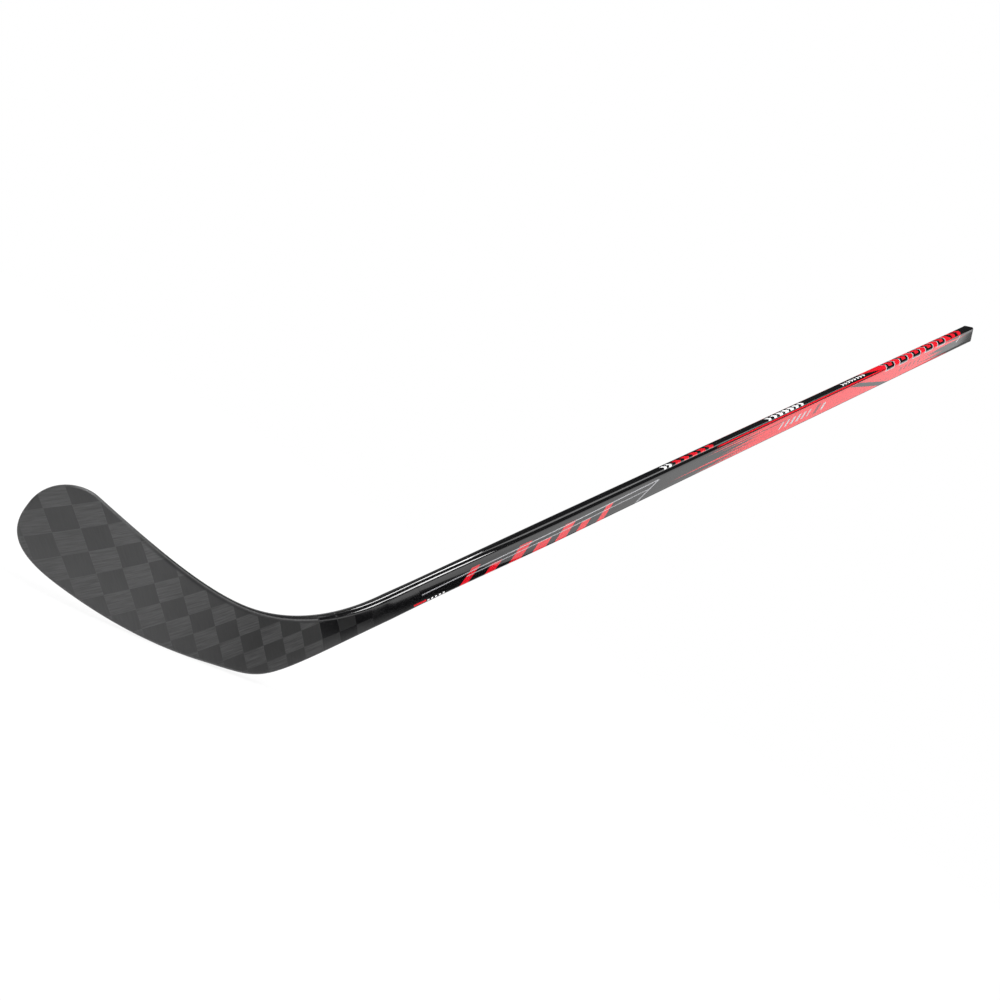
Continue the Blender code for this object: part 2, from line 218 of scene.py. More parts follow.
class StickSizes(bpy.types.PropertyGroup):
    """Sizes of the stick."""
    shaft_length: length("Shaft length", "Heel corner to butt end, along the back edge", 1.524)
    shaft_width: length("Shaft width", "Broad side of the shaft", 0.030)
    shaft_depth: length("Shaft depth", "Narrow side of the shaft", 0.020)
    shaft_corner: length("Shaft corner", "Radius of the shaft's long edges", 0.0035)
    lie: angle("Lie", "Angle of the shaft from the floor", 47.0)
    taper_top: length("Taper top", "Where the taper starts, up from the heel", 0.430)
    fuse_height: length("Joint", "Where shaft and hosel meet, up from the heel", 0.190)
    fuse_depth: length("Joint depth", "Narrow side at the joint", 0.0160)
    neck_depth: length("Neck depth", "Narrow side at the end of the neck", 0.0172)
    taper_back: length("Taper back", "How far the back side draws in", 0.0019)
    taper_front: length("Taper front", "How far the front side flares", 0.0006)
    butt_flange: length("Butt flange", "Length of the end plug that shows", 0.0040)
    blade_length: length("Blade length", "Heel corner to toe in plan", 0.2883)
    sole_drop: length("Sole drop", "Lowest point of the sole below the heel corner", 0.0119)
    rocker: length("Rocker", "Radius of the sole", 0.585)
    top_low: length("Top edge at heel", "Height of the top edge near the heel", 0.0568)
    top_high: length("Top edge at toe", "Height of the top edge near the toe", 0.0868)
    top_slope: number("Top slope", "Climb of the top edge at the toe", 0.257)
    toe_height: length("Toe height", "Height of the toe's tip", 0.050)
    curve_depth: length("Curve", "Sweep of the toe out of the shaft's plane", 0.0558)
    curve_power: number("Curve power", "How late the curve comes", 3.2)
    loft_heel: angle("Loft at heel", "Lean of the face at the heel", 2.6)
    loft_toe: angle("Loft at toe", "Lean of the face at the toe", 4.9)
    root_thickness: length("Root thickness", "Blade thickness at the heel", 0.0090)
    toe_thickness: length("Toe thickness", "Blade thickness at the toe", 0.0060)
    hosel_crown: length("Hosel crown", "Swell of the hosel's broad sides", 0.0007)
    front_crown: length("Front crown", "Swell of the hosel's front side", 0.0006)
    shaft_crown: length("Shaft crown", "Swell of the shaft's front side", 0.00025)
    crown_top: length("Crown top", "Where the swell ends, up from the heel", 0.360)


class StickColours(bpy.types.PropertyGroup):
    """Colours of the stick's finishes."""
    carbon_light: colour("Light carbon", "Tows that face the light", (0.069, 0.069, 0.070))
    carbon_strip: colour("Edge strip", "Carbon strip round the blade", (0.062, 0.062, 0.063))
    carbon_dark: colour("Dark carbon", "Tows that turn from the light", (0.045, 0.045, 0.046))
    black: colour("Black", "Black lacquer", (0.006, 0.006, 0.0065))
    red: colour("Red", "Red lacquer", (0.67, 0.010, 0.021))
    silver: colour("Silver", "Silver print", (0.42, 0.42, 0.44))
    white: colour("White", "White print", (0.88, 0.88, 0.88))
    rubber: colour("Rubber", "Butt plug", (0.008, 0.008, 0.0085))
    foam: colour("Foam", "Cores inside the blade", (0.78, 0.75, 0.66))
    floor: colour("Floor", "Floor and backdrop", (0.90, 0.90, 0.90))


class StageSettings(bpy.types.PropertyGroup):
    """Camera and lights."""
    camera_place: FloatVectorProperty(name="Camera", description="Where the camera stands",
                                      default=(-0.99696, -0.76469, 0.22457),
                                      subtype="TRANSLATION")
    camera_turn: FloatVectorProperty(
        name="Camera turn", description="Turn of the camera",
        default=(radians(95.298), radians(-32.371), radians(-49.121)), subtype="EULER")
    lens: number("Lens", "Focal length on a 36 mm sensor", 32.132)
    side_power: power("Side box", "Power of the box at the front right", 47.5)
    top_power: power("Top box", "Power of the box overhead", 80.0)
    strip_power: power("Shaft strip", "Power of the strip seen in the shaft's front", 1.35)
    hosel_power: power("Hosel strip", "Power of the strip seen in the hosel's front", 10.5)
    heel_power: power("Heel strip", "Power of the strip seen in the hosel's edge", 40.0)


# ---- form of the stick ----

def smooth(x):
    """Ease from 0 to 1."""
    x = np.clip(x, 0.0, 1.0)
    return x * x * (3.0 - 2.0 * x)


def bezier(points, t):
    """Points and unit tangents of a cubic curve."""
    a, b, c, d = (np.asarray(p, float) for p in points)
    t = t[:, None]
    s = 1.0 - t
    where = s ** 3 * a + 3 * s * s * t * b + 3 * s * t * t * c + t ** 3 * d
    tangent = s * s * (b - a) + 2 * s * t * (c - b) + t * t * (d - c)
    return where, tangent / np.linalg.norm(tangent, axis=1, keepdims=True)


def unit(slope):
    """Direction of length 1 in the flat plane that climbs by a slope."""
    return np.array([1.0, slope]) / np.hypot(1.0, slope)


# A line across the stick, from its back or sole (foot) to its front or top edge (head), with the
# way into the section at either end, the lean, depth and corner there, and the swell of the broad
# sides (crown) and of the front
Rib = namedtuple("Rib", "foot head foot_in head_in loft depth corner crown front")


class Form:
    """The stick's outer form, as ribs across it from the butt end to the toe."""

    def __init__(self, sizes):
        self.z = sizes
        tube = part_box("shaft_tube")
        end = sizes.shaft_length - sizes.butt_flange - GAP
        top = end * sin(sizes.lie) + sizes.shaft_width * cos(sizes.lie)
        self.seat = np.array([tube[1].x - end * cos(sizes.lie),
                              tube[0].y + sizes.shaft_depth / 2,
                              tube[1].z - top])

    def flat_point(self, along, across):
        """Point of the flat plane at a distance up the shaft and across from its back edge."""
        lie = self.z.lie
        return np.array([-along * cos(lie) + across * sin(lie),
                         along * sin(lie) + across * cos(lie)])

    def place(self, flat, loft, offset):
        """World points of flat-plane points at offsets off the leaned mid surface."""
        z = self.z
        u, v = flat[:, 0], flat[:, 1]
        x = np.maximum(u, 0.0) / z.blade_length
        sweep = z.curve_depth * x ** z.curve_power
        slope = z.curve_depth * z.curve_power * x ** (z.curve_power - 1.0) / z.blade_length
        s, c = sin(-loft), cos(loft)
        length = np.sqrt(1.0 + (slope * c) ** 2)
        height = v - LOFT_AXIS_HEIGHT
        points = np.stack([-u + offset * slope * c / length,
                           sweep + s * height + offset * c / length,
                           LOFT_AXIS_HEIGHT + c * height - offset * s / length], axis=-1)
        return points + self.seat

    def shaft_section(self, along):
        """Low and high side of the shaft and its depth at a distance up from the heel."""
        z = self.z
        share = smooth((z.taper_top - along) / (z.taper_top - z.fuse_height))
        depth = z.shaft_depth + (z.fuse_depth - z.shaft_depth) * share
        if np.any(along < z.fuse_height):
            gone = (z.fuse_height - along) / (z.fuse_height - NECK_HEIGHT)
            depth += (z.neck_depth - z.fuse_depth) * gone
        return z.taper_back * share, z.shaft_width + z.taper_front * share, depth

    def crowns(self, along):
        """Swell of the broad sides and of the front at a distance up from the heel."""
        z = self.z
        share = float(smooth((z.crown_top - along) / (z.crown_top - NECK_HEIGHT)))
        left = float(smooth((z.shaft_length - z.butt_flange - GAP - along) / CROWN_FADE))
        front = z.shaft_crown * left + (z.front_crown - z.shaft_crown) * share
        return z.hosel_crown * share, front

    def shaft_rib(self, along):
        """Rib straight across the shaft at a distance up from the heel."""
        crown, front = self.crowns(along)
        low, high, depth = self.shaft_section(along)
        foot, head = self.flat_point(along, low), self.flat_point(along, high)
        across = (head - foot) / np.linalg.norm(head - foot)
        return Rib(foot, head, across, -across, 0.0, depth, self.z.shaft_corner, crown, front)

    def sole_height(self, u):
        return -self.z.sole_drop + (u - SOLE_LOW_AT) ** 2 / (2.0 * self.z.rocker)

    def sole_slope(self, u):
        return (u - SOLE_LOW_AT) / self.z.rocker

    def blade_ribs(self, steps):
        """Ribs from the end of the neck to the toe; steps are for heel, blade and toe."""
        z = self.z
        down = np.array([cos(z.lie), -sin(z.lie)])
        up = np.array([0.0, 1.0])
        neck = self.shaft_rib(NECK_HEIGHT)
        foot, head = neck.foot, neck.head
        top_end_u = z.blade_length - TOP_END_BACK
        sole_end_u = z.blade_length - SOLE_END_BACK
        top_start = np.array([TOP_START, z.top_low])
        top_end = np.array([top_end_u, z.top_high])
        sole_start = np.array([SOLE_START, self.sole_height(SOLE_START)])
        sole_end = np.array([sole_end_u, self.sole_height(sole_end_u)])
        tip_head = np.array([z.blade_length, z.toe_height + TOE_FLAT / 2])
        tip_foot = np.array([z.blade_length, z.toe_height - TOE_FLAT / 2])
        third = (sole_end_u - SOLE_START) / 3.0
        heads = [
            (head, head + FILLET_REACH_SHAFT * down,
             top_start - FILLET_REACH_BLADE * unit(0.0), top_start),
            (top_start, top_start + TOP_REACH_HEEL * unit(0.0),
             top_end - TOP_REACH_TOE * unit(z.top_slope), top_end),
            (top_end, top_end + TOE_TOP_REACH * unit(z.top_slope),
             tip_head + TOE_TOP_ROUND * up, tip_head)]
        feet = [
            (foot, foot + HEEL_REACH_SHAFT * down,
             sole_start - HEEL_REACH_SOLE * unit(self.sole_slope(SOLE_START)), sole_start),
            (sole_start, sole_start + third * np.array([1.0, self.sole_slope(SOLE_START)]),
             sole_end - third * np.array([1.0, self.sole_slope(sole_end_u)]), sole_end),
            (sole_end, sole_end + TOE_SOLE_REACH * unit(self.sole_slope(sole_end_u)),
             tip_foot - TOE_SOLE_ROUND * up, tip_foot)]
        ribs = []
        root_u = (SOLE_START + TOP_START) / 2
        for span in range(3):
            t = np.linspace(0.0, 1.0, steps[span] + 1)[0 if span == 0 else 1:]
            feet_at, feet_way = bezier(feet[span], t)
            heads_at, heads_way = bezier(heads[span], t)
            for k, f, h, f_way, h_way in zip(t, feet_at, heads_at, feet_way, heads_way):
                u = (f[0] + h[0]) / 2
                share = np.clip(u / z.blade_length, 0.0, 1.0)
                loft = z.loft_heel + (z.loft_toe - z.loft_heel) * sin(share * pi / 2)
                if span == 0:
                    loft *= smooth(k)
                    thinned = k ** HEEL_THINNING
                    depth = z.neck_depth + (z.root_thickness - z.neck_depth) * thinned
                    left = 1.0 - smooth((k - CROWN_HOLD) / (1 - CROWN_HOLD))
                else:
                    mix = np.clip((u - root_u) / (z.blade_length - root_u), 0.0, 1.0)
                    depth = z.root_thickness + (z.toe_thickness - z.root_thickness) * mix
                    left = 0.0
                ribs.append(Rib(f, h, np.array([-f_way[1], f_way[0]]),
                                np.array([h_way[1], -h_way[0]]), loft, depth,
                                min(z.shaft_corner, EDGE_ROUND * depth), z.hosel_crown * left,
                                z.front_crown * left))
        last = ribs[-1]
        tip = (last.foot + last.head) / 2
        ribs.append(Rib(tip, tip, last.foot_in, last.head_in, last.loft, last.depth, last.corner,
                        0.0, 0.0))
        return ribs

    def section(self, rib, steps, columns):
        """World points, flat points and nominal places round one rib's section."""
        half = rib.depth / 2
        corner = min(rib.corner, half * CORNER_MOST)
        flats, offsets, rounds = [], [], []

        def add(flat, offset, place):
            flats.append(flat)
            offsets.append(offset)
            rounds.append(place)

        def round_off(edge, inward, side, at, leaving):
            """Corner at one edge of a side, walked on to the side or, leaving it, off it."""
            for k in range(steps + 1):
                turn = pi / 2 * k / steps
                rise, fall = (cos(turn), sin(turn)) if leaving else (sin(turn), cos(turn))
                add(edge + inward * corner * (1 - fall), side * (half - corner + corner * rise),
                    at + CORNER_RUN * k / steps)

        ends = [(rib.foot, rib.foot_in), (rib.head, rib.head_in)]
        add(rib.foot, 0.0, 0.0)
        at = NARROW_HALF
        for side in (-1.0, 1.0):
            (near, near_in), (far, far_in) = ends
            first, last = near + near_in * corner, far + far_in * corner
            round_off(near, near_in, side, at, False)
            at += CORNER_RUN
            for k in range(1, columns):
                share = k / columns
                add(first + (last - first) * share,
                    side * (half + rib.crown * 4 * share * (1 - share)), at + BROAD_RUN * share)
            at += BROAD_RUN
            round_off(far, far_in, side, at, True)
            at += CORNER_RUN + NARROW_HALF
            if side < 0:
                for share in CROWN_PLACES:
                    add(rib.head - rib.head_in * rib.front * (1 - share * share),
                        share * (half - corner), at + share * NARROW_HALF)
            else:
                add(rib.foot, 0.0, at)
            at += NARROW_HALF
            ends.reverse()
        flats = np.array(flats)
        return self.place(flats, rib.loft, np.array(offsets)), flats, np.array(rounds)


# ---- mesh by grid ----

def clear_selection():
    """Leaves edit mode and deselects everything."""
    if bpy.context.object and bpy.context.object.mode != "OBJECT":
        bpy.ops.object.mode_set(mode="OBJECT")
    bpy.ops.object.select_all(action="DESELECT")


def new_piece(name):
    """The primitive that was just added, under its name."""
    piece = bpy.context.object
    piece.name = name
    piece.data.name = name
    return piece


def wrap_grid(name, points, layouts):
    """Closed piece from a flat grid that is wrapped round the rows of points, with its UV maps."""
    rows, columns = points.shape[:2]
    clear_selection()
    bpy.ops.mesh.primitive_grid_add(x_subdivisions=columns - 1, y_subdivisions=rows - 1,
                                    size=1.0)
    piece = new_piece(name)
    mesh = piece.data
    mesh.vertices.foreach_set("co", points.reshape(-1))
    corner_vertex = np.zeros(len(mesh.loops), dtype=np.int32)
    mesh.loops.foreach_get("vertex_index", corner_vertex)
    for index, (layer_name, values) in enumerate(layouts.items()):
        layer = mesh.uv_layers[0] if index == 0 else mesh.uv_layers.new(name=layer_name)
        layer.name = layer_name
        places = values.reshape(-1, 2)[corner_vertex]
        layer.data.foreach_set("uv", places.reshape(-1).astype(np.float32))
    mesh.uv_layers.active_index = 0
    bpy.ops.object.mode_set(mode="EDIT")
    bpy.ops.mesh.select_all(action="SELECT")
    bpy.ops.mesh.remove_doubles(threshold=MERGE)
    bpy.ops.mesh.select_all(action="DESELECT")
    bpy.ops.mesh.select_mode(type="EDGE")
    bpy.ops.mesh.select_non_manifold(
        extend=False, use_wire=False, use_boundary=True, use_multi_face=False,
        use_non_contiguous=False, use_verts=False)
    bpy.ops.mesh.fill_holes(sides=0)
    bpy.ops.mesh.select_all(action="SELECT")
    bpy.ops.mesh.normals_make_consistent(inside=False)
    bpy.ops.object.mode_set(mode="OBJECT")
    bpy.ops.object.shade_smooth_by_angle(angle=SMOOTH_ANGLE)
    return piece


# A ring of the bar: its distance up from the heel, the middle of its width, its width and depth,
# and the swell of its broad sides and of its front
Ring = namedtuple("Ring", "along middle width depth crown front")


def swept_bar(name, form, stations):
    """Closed rounded bar along the shaft's axis, drawn out ring by ring through its stations.

    A station is the distance up from the heel, and how far its ring is drawn in from the sides.
    """
    z = form.z
    rings = []
    for along, inset in stations:
        low, high, depth = form.shaft_section(along)
        rings.append(Ring(along, (low + high) / 2, high - low - 2 * inset, depth - 2 * inset,
                          *form.crowns(along)))
    first = rings[0]
    clear_selection()
    bpy.ops.mesh.primitive_plane_add(size=1.0, location=(0.0, 0.0, 0.0))
    piece = new_piece(name)
    bpy.ops.object.mode_set(mode="EDIT")
    bpy.ops.mesh.select_mode(type="VERT")
    bpy.ops.mesh.select_all(action="SELECT")
    bpy.ops.transform.resize(value=(first.width, first.depth, 1.0),
                             center_override=(0.0, 0.0, 0.0))
    bpy.ops.mesh.bevel(offset=z.shaft_corner, segments=BAR_CORNER_STEPS, affect="VERTICES",
                       profile=0.5)
    column_flats(piece)
    bpy.ops.mesh.select_all(action="SELECT")
    bpy.ops.transform.translate(value=(-first.middle, 0.0, first.along))
    crown_ring(piece, first, None, z)
    for before, ring in zip(rings, rings[1:]):
        bpy.ops.mesh.extrude_region_move(TRANSFORM_OT_translate={
            "value": (before.middle - ring.middle, 0.0, ring.along - before.along)})
        bpy.ops.transform.resize(value=(ring.width / before.width, ring.depth / before.depth, 1.0),
                                 center_override=(-ring.middle, 0.0, ring.along))
        crown_ring(piece, ring, before, z)
    bpy.ops.mesh.select_all(action="SELECT")
    bpy.ops.transform.rotate(value=-(pi / 2 - z.lie), orient_axis="Y",
                             center_override=(0.0, 0.0, 0.0))
    bpy.ops.transform.translate(value=tuple(float(x) for x in form.seat))
    bpy.ops.mesh.normals_make_consistent(inside=False)
    bpy.ops.object.mode_set(mode="OBJECT")
    bpy.ops.object.shade_smooth_by_angle(angle=SMOOTH_ANGLE)
    map_bar(piece, form)
    return piece


def pick(piece, test):
    """Selects the vertices that pass a test of their place, in edit mode, and counts them."""
    mesh = bmesh.from_edit_mesh(piece.data)
    bpy.ops.mesh.select_all(action="DESELECT")
    found = [vertex for vertex in mesh.verts if test(vertex.co)]
    for vertex in found:
        vertex.select_set(True)
    mesh.select_flush_mode()
    bmesh.update_edit_mesh(piece.data)
    return len(found)


def column_flats(piece):
    """Cuts each flat side of the first ring into columns, so that it can take a crown."""
    mesh = bmesh.from_edit_mesh(piece.data)
    bpy.ops.mesh.select_all(action="DESELECT")
    bpy.ops.mesh.select_mode(type="EDGE")
    for edge in mesh.edges:
        if edge.calc_length() > LEAST_FLAT:
            edge.select_set(True)
    bmesh.update_edit_mesh(piece.data)
    bpy.ops.mesh.subdivide(number_cuts=len(CROWN_PLACES))
    bpy.ops.mesh.select_mode(type="VERT")


def crown_ring(piece, ring, before, z):
    """Swells the broad sides and the front of the newest ring by their crowns."""
    side_step, front_step = ring.crown, ring.front
    if before:
        side_step -= before.crown * (ring.depth / before.depth)
        front_step -= before.front * (ring.width / before.width)
    flat, narrow = ring.width / 2 - z.shaft_corner, ring.depth / 2 - z.shaft_corner

    def in_ring(co):
        return abs(co.z - ring.along) < SAME_PLACE

    def swell(step, way, test):
        """Moves the vertices that pass a test by a step, where there is one."""
        if abs(step) <= NO_STEP or not pick(piece, lambda co: in_ring(co) and test(co)):
            return False
        bpy.ops.transform.translate(value=way)
        return True

    moved = False
    for share in CROWN_PLACES:
        weight = 1 - share * share
        for side in (-1.0, 1.0):
            moved |= swell(side_step, (0.0, side * side_step * weight, 0.0),
                           lambda co: abs(co.x + ring.middle - share * flat) < flat * 0.1
                           and co.y * side > ring.depth * 0.3)
        moved |= swell(front_step, (-front_step * weight, 0.0, 0.0),
                       lambda co: abs(co.y - share * narrow) < narrow * 0.1
                       and co.x + ring.middle < -ring.width * 0.3)
    if moved:
        pick(piece, in_ring)
        bpy.ops.mesh.select_mode(type="FACE")
        bpy.ops.mesh.select_mode(type="VERT")


def map_bar(piece, form):
    """UV map in metres: distance up the shaft, and place round it from the middle of the back."""
    z = form.z
    mesh = piece.data
    count = len(mesh.vertices)
    world = np.zeros(count * 3)
    mesh.vertices.foreach_get("co", world)
    world = world.reshape(-1, 3) - form.seat
    along = world[:, 0] * cos(z.lie) + world[:, 2] * sin(z.lie)
    low, high, depth = form.shaft_section(along)
    across = (world[:, 2] * cos(z.lie) - world[:, 0] * sin(z.lie) - low) / (high - low)
    across = np.clip(across, 0.0, 1.0) * (BROAD_RUN + 2 * NOMINAL_CORNER)
    off = np.clip(world[:, 1] / depth, -0.5, 0.5) * 2 * (NARROW_HALF + NOMINAL_CORNER)
    around = np.array([around_bar(a, o) for a, o in zip(across, off)])
    layer = mesh.uv_layers[0] if mesh.uv_layers else mesh.uv_layers.new(name="wrap")
    layer.name = "wrap"
    for face in mesh.polygons:
        places = [around[mesh.loops[k].vertex_index] for k in face.loop_indices]
        seam = max(places) - min(places) > ROUND_RUN / 2
        for k, place in zip(face.loop_indices, places):
            if seam and place > ROUND_RUN / 2:
                place -= ROUND_RUN
            layer.data[k].uv = (along[mesh.loops[k].vertex_index], place)


def around_bar(across, off):
    """Distance round the nominal section, from the middle of the back by the backhand side."""
    if off > 0.0:
        return ROUND_RUN - around_bar(across, -off)
    corner, width = NOMINAL_CORNER, BROAD_RUN + 2 * NOMINAL_CORNER
    out = -NARROW_HALF - off
    if out < 0.0:
        return FRONT_MIDDLE + off if across > width / 2 else -off
    start = NARROW_HALF + CORNER_RUN
    if across < corner:
        return NARROW_HALF + corner * atan2(out, corner - across)
    if across > width - corner:
        return start + BROAD_RUN + corner * (pi / 2 - atan2(out, across - width + corner))
    return start + across - corner


def put(piece, slot, *nodes):
    """Seats a finished piece on the stick's one body, in place of CAD nodes."""
    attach(piece, "root")
    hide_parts(*nodes)


# ---- shader fields ----

WHITE = (1.0, 1.0, 1.0, 1.0)


def feed(tree, socket, value):
    """Gives a shader input a field, the output of another node, or a plain value."""
    if isinstance(value, Field):
        value = value.socket
    if isinstance(value, bpy.types.NodeSocket):
        tree.links.new(value, socket)
    else:
        socket.default_value = value


def add_node(tree, kind, *values, operation=None, **named):
    """New shader node, with its inputs fed by their place or their name."""
    node = tree.nodes.new("ShaderNode" + kind)
    if operation:
        node.operation = operation
    for place, value in (*enumerate(values), *named.items()):
        feed(tree, node.inputs[place], value)
    return node


class Field:
    """A value that varies over a surface, with arithmetic that adds shader nodes."""

    def __init__(self, tree, socket):
        self.tree = tree
        self.socket = socket

    def math(self, operation, *others, clamp=False):
        node = add_node(self.tree, "Math", self, *others, operation=operation)
        node.use_clamp = clamp
        return Field(self.tree, node.outputs[0])

    def __add__(self, other):
        return self.math("ADD", other)

    def __sub__(self, other):
        return self.math("SUBTRACT", other)

    def __mul__(self, other):
        return self.math("MULTIPLY", other)

    def size(self):
        return self.math("ABSOLUTE")

    def floor(self):
        return self.math("FLOOR")

    def fract(self):
        return self.math("FRACT")

    def odd(self):
        """1 where a whole number is odd."""
        return (self * 0.5).fract().above(0.25, 0.01)

    def above(self, edge, soft=PRINT_EDGE):
        """0 below an edge and 1 above it."""
        return (self - edge).math("MULTIPLY_ADD", 1.0 / soft, 0.5, clamp=True)

    def below(self, edge, soft=PRINT_EDGE):
        """1 below an edge and 0 above it."""
        return self.above(edge, soft).inverse()

    def within(self, low, high, soft=PRINT_EDGE):
        """1 between two edges."""
        middle, half = (low + high) / 2, (high - low) / 2
        return (self - middle).size().math("MULTIPLY_ADD", -1.0 / soft, half / soft + 0.5,
                                           clamp=True)

    def inverse(self):
        return self.math("MULTIPLY_ADD", -1.0, 1.0, clamp=True)

    def either(self, other):
        """The larger of two values."""
        return self.math("MAXIMUM", other)


class Finish:
    """A material under construction."""

    def __init__(self, name):
        self.material = bpy.data.materials.new(name)
        self.material.use_nodes = True
        self.tree = self.material.node_tree
        self.shader = self.tree.nodes["Principled BSDF"]

    def uv(self, layer):
        node = add_node(self.tree, "UVMap")
        node.uv_map = layer
        return node.outputs[0]

    def object_space(self):
        return add_node(self.tree, "TexCoord").outputs["Object"]

    def split(self, vector):
        node = add_node(self.tree, "SeparateXYZ", vector)
        return [Field(self.tree, out) for out in node.outputs]

    def join(self, *values):
        return add_node(self.tree, "CombineXYZ", *values).outputs[0]

    def noise(self, vector, scale=1.0, detail=2.0, roughness=0.5):
        node = add_node(self.tree, "TexNoise", Vector=vector, Scale=scale, Detail=detail,
                        Roughness=roughness)
        return Field(self.tree, node.outputs["Fac"])

    def blend(self, share, low, high):
        """Value that goes from low to high."""
        return low + (high - low) * share

    def tint(self, colour, factor):
        """Colour made lighter or darker by a factor that varies."""
        node = add_node(self.tree, "VectorMath", colour, operation="SCALE", Scale=factor)
        return node.outputs[0]

    def mix(self, share, low, high):
        """Colour that goes from low to high."""
        node = add_node(self.tree, "Mix", share)
        node.data_type = "RGBA"
        for socket, value in ((node.inputs[6], low), (node.inputs[7], high)):
            plain_colour = not isinstance(value, bpy.types.NodeSocket)
            feed(self.tree, socket, (*value, 1.0) if plain_colour else value)
        return node.outputs[2]

    def marks(self, run, across, row):
        """Row of marks along a run, with its reach across."""
        step = (run - row.start) * (1.0 / row.pitch)
        place = step.floor() * (1.0 / max(row.count - 1, 1)) - 0.5
        width = place.size().math("MULTIPLY_ADD", -2.0 * (row.most - row.least), row.most)
        sharp = row.pitch / PRINT_EDGE
        behind = (width - step.fract()).math("MULTIPLY_ADD", sharp, 0.5, clamp=True)
        ahead = step.fract().math("MULTIPLY_ADD", sharp, 0.5, clamp=True)
        row_length = step.within(0.0, row.count, 0.01)
        return behind * ahead * row_length * across.within(row.low, row.high, row.soft)

    def bump(self, height, distance, strength=1.0):
        node = add_node(self.tree, "Bump", Distance=distance, Strength=strength, Height=height)
        self.shade(normal=node.outputs[0])

    def shade(self, **values):
        """Feeds the shader's own sockets."""
        for name, value in values.items():
            socket = name.replace("_", " ").title().replace("Ior", "IOR")
            feed(self.tree, self.shader.inputs[socket], value)


def dress(piece, material):
    piece.data.materials.clear()
    piece.data.materials.append(material)


def front_distance(around):
    """Distance round the section from the middle of the front, equal on both broad sides."""
    return (around - FRONT_MIDDLE).size()


def heel_dash(along, across):
    """Short red dash low on the broad side, across the joint of hosel and shaft."""
    run, reach = HEEL_DASH
    return along.within(*run, 0.0006) * across.within(*reach)


def carbon_weave(colours):
    """Wide flat tows in a diagonal check under a satin coat, going over into black gloss."""
    finish = Finish("carbon_weave")
    u, v, _ = finish.split(finish.uv("plan"))
    along, around, _ = finish.split(finish.uv("wrap"))
    across = front_distance(around)
    place = finish.object_space()
    # wander of the tow edges, then steps of the check along its two directions
    wander = finish.noise(place, 34.0, 2.0) - 0.5
    x = u - CHECK_START[0] + wander * 0.0011
    y = v - CHECK_START[1] - wander * 0.0009
    (a, c), (b, d) = CHECK_FIRST, CHECK_SECOND
    det = a * d - b * c
    first = x * (d / det) - y * (b / det)
    second = y * (a / det) - x * (c / det)
    over = (first.floor() + second.floor()).odd()
    # fibres run one way in the tows on top and the other way in those below
    cell = finish.join(first.floor(), second.floor(), 0.0)
    tone = finish.noise(cell, 3.7, 0.0) - 0.5
    top_fibre = finish.noise(finish.join(first * 0.9, second * 13.0, 0.0), 1.0, 4.0, 0.7) - 0.5
    low_fibre = finish.noise(finish.join(first * 16.0, second * 1.1, 3.0), 1.0, 4.0, 0.7) - 0.5
    fibre = finish.blend(over, top_fibre * 1.5, low_fibre * 0.5)
    seam = (first.fract() - 0.5).size().either((second.fract() - 0.5).size()).above(0.487, 0.012)
    # painted shade: the weave is darker towards the heel, and the check's painted sheen is weaker
    # towards the sole
    heel = along.above(-0.085, 0.13)
    shade = tone * 0.16 + seam * 0.13 + 1.0
    # painted sheen: the tows on top and those below take a lit and a shaded copy of one carbon
    # colour
    light = finish.tint(colours.carbon_light, shade * (heel * -0.54 + 1.0) + fibre)
    dark = finish.tint(colours.carbon_dark,
                       shade * (heel * -0.80 + 1.0) + fibre * (heel * -0.4 + 1.0))
    contrast = across.above(0.0300, 0.0120) * -0.45 + 1.0
    weave = finish.mix(over * contrast, light, dark)
    # the weave sinks into black lacquer up the hosel, with a faint copy of the check's painted
    # sheen under it
    wane = first.above(11.0, 0.06)
    lost = first.above(14.0, 1.6)
    sunk = finish.mix(over, colours.black, [0.30 * x for x in colours.carbon_light])
    sunk = finish.mix(lost, sunk, colours.black)
    body = finish.mix(wane, weave, sunk)
    # grey strip round the edge of the blade; towards the heel it has a black rim on its outer
    # side and a dark groove on its inner side
    near = along.above(RIM_START, 0.05)
    rim = across.below(STRIP_RIM, 0.0006) * near
    strip = across.below(STRIP_WIDTH, 0.0006).either(across.above(SOLE_STRIP_START, 0.0010))
    strip = strip * along.above(-0.25, 0.03)
    groove = across.within(*STRIP_GROOVE, 0.0006) * near
    wear = finish.noise(place, 420.0, 3.0, 0.7) - 0.5
    body = finish.mix(strip, body, finish.tint(colours.carbon_strip, wear * 1.2 + 1.0))
    blackened = (groove * 0.8).either(rim).either(strip * wane)
    body = finish.mix(blackened, body, colours.black)
    body = finish.mix(heel_dash(along, across), body, colours.red)
    gloss = finish.noise(place, 9.0, 3.0) * 0.10 - 0.05
    satin = (over * -0.06 + 0.50 + gloss) * rim.inverse() + rim * 0.24
    finish.shade(base_color=body, roughness=finish.blend(wane, satin, gloss * 0.2 + 0.09),
                 specular_ior_level=0.42)
    # relief of fibres and seams, gone where the lacquer begins
    open_weave = along.below(0.070, 0.03)
    relief = fibre * open_weave + seam * -0.5 * open_weave
    relief = relief + finish.noise(place, 1500.0, 2.0) * 0.12
    finish.bump(relief, 0.00009, 0.9)
    return finish.material


